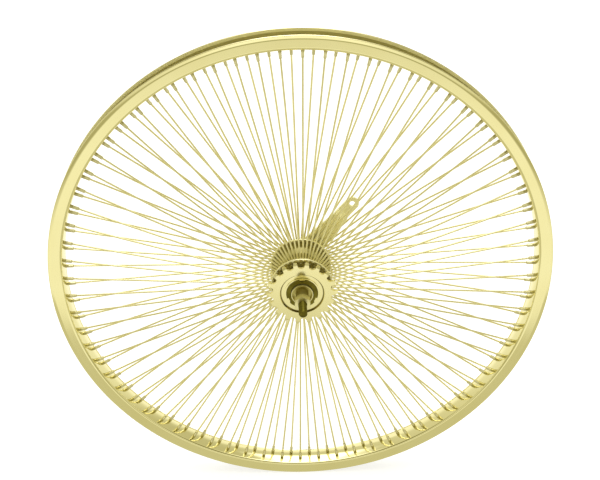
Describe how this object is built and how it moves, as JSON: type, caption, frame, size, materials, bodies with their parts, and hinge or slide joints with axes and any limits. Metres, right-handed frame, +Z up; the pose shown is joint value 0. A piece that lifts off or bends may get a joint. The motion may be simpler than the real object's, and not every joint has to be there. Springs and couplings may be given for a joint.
{
  "type": "spoked wheel",
  "caption": "Spoked bicycle rear wheel: deep-set wire spokes in a single-wall rim, coaster-brake hub with sprocket, brake arm and threaded axle.",
  "frame": {"origin": "wheel centre: the rim's middle plane on the axle's centre line", "axes": "+Y along the axle from the chain side to the brake side, +Z up, the wheel spins about Y"},
  "size_m": [0.5726, 0.156, 0.5726],
  "materials": {
    "gold_plate": "yellow gold plating over steel, bright",
    "gold_spoke": "yellow gold plating on drawn wire",
    "dark_steel": "dark oiled steel, threaded",
    "hard_steel": "ground hardened steel",
    "ball_steel": "polished bearing steel",
    "shoe_bronze": "sintered bronze, matt"
  },
  "bodies": {
    "axle_set": {"axle": "dark_steel", "adjusting_cone": "dark_steel", "cone_dust_cap": "gold_plate", "cone_washer": "gold_plate", "cone_locknut": "gold_plate", "brake_cone": "hard_steel", "brake_dust_cap": "gold_plate", "brake_arm": "gold_plate", "arm_washer": "gold_plate", "arm_locknut": "gold_plate", "retarder_spring": "hard_steel"},
    "wheel": {"rim": "gold_plate", "hub_shell": "gold_plate", "drive_dust_cap": "gold_plate", "spokes_drive_outer": "gold_spoke", "spokes_drive_inner": "gold_spoke", "spokes_brake_outer": "gold_spoke", "spokes_brake_inner": "gold_spoke", "nipples_drive": "gold_spoke", "nipples_brake": "gold_spoke"},
    "driver_set": {"driver": "dark_steel", "sprocket": "gold_plate", "snap_ring": "gold_plate"},
    "clutch": {"clutch_cone": "hard_steel"},
    "shoe_upper": {"brake_shoe_upper": "shoe_bronze"},
    "shoe_lower": {"brake_shoe_lower": "shoe_bronze"},
    "outer_bearing": {"outer_balls": "ball_steel", "outer_cage": "hard_steel"},
    "drive_bearing": {"drive_balls": "ball_steel", "drive_cage": "hard_steel"},
    "brake_bearing": {"brake_balls": "ball_steel", "brake_cage": "hard_steel"}
  },
  "joints": [
    {"name": "wheel_spin", "type": "hinge", "parent": "axle_set", "child": "wheel", "pos_m": [0, 0, 0], "axis": [0, 1, 0], "continuous": true},
    {"name": "driver_spin", "type": "hinge", "parent": "axle_set", "child": "driver_set", "pos_m": [0, 0, 0], "axis": [0, 1, 0], "continuous": true},
    {"name": "clutch_slide", "type": "slide", "parent": "driver_set", "child": "clutch", "axis": [0, 1, 0], "range_m": [0, 0.002]},
    {"name": "shoe_upper_slide", "type": "slide", "parent": "axle_set", "child": "shoe_upper", "axis": [0, 0, 1], "range_m": [0, 0.0005]},
    {"name": "shoe_lower_slide", "type": "slide", "parent": "axle_set", "child": "shoe_lower", "axis": [0, 0, -1], "range_m": [0, 0.0005]},
    {"name": "outer_bearing_spin", "type": "hinge", "parent": "axle_set", "child": "outer_bearing", "pos_m": [0, 0, 0], "axis": [0, 1, 0], "continuous": true},
    {"name": "drive_bearing_spin", "type": "hinge", "parent": "axle_set", "child": "drive_bearing", "pos_m": [0, 0, 0], "axis": [0, 1, 0], "continuous": true},
    {"name": "brake_bearing_spin", "type": "hinge", "parent": "axle_set", "child": "brake_bearing", "pos_m": [0, 0, 0], "axis": [0, 1, 0], "continuous": true}
  ],
  "couplings": [
    {"joint": "shoe_upper_slide", "follows": "clutch_slide", "ratio": 0.25},
    {"joint": "shoe_lower_slide", "follows": "clutch_slide", "ratio": 0.25},
    {"joint": "outer_bearing_spin", "follows": "driver_spin", "ratio": 0.624},
    {"joint": "drive_bearing_spin", "follows": "wheel_spin", "ratio": 0.5882},
    {"joint": "brake_bearing_spin", "follows": "wheel_spin", "ratio": 0.5882}
  ]
}
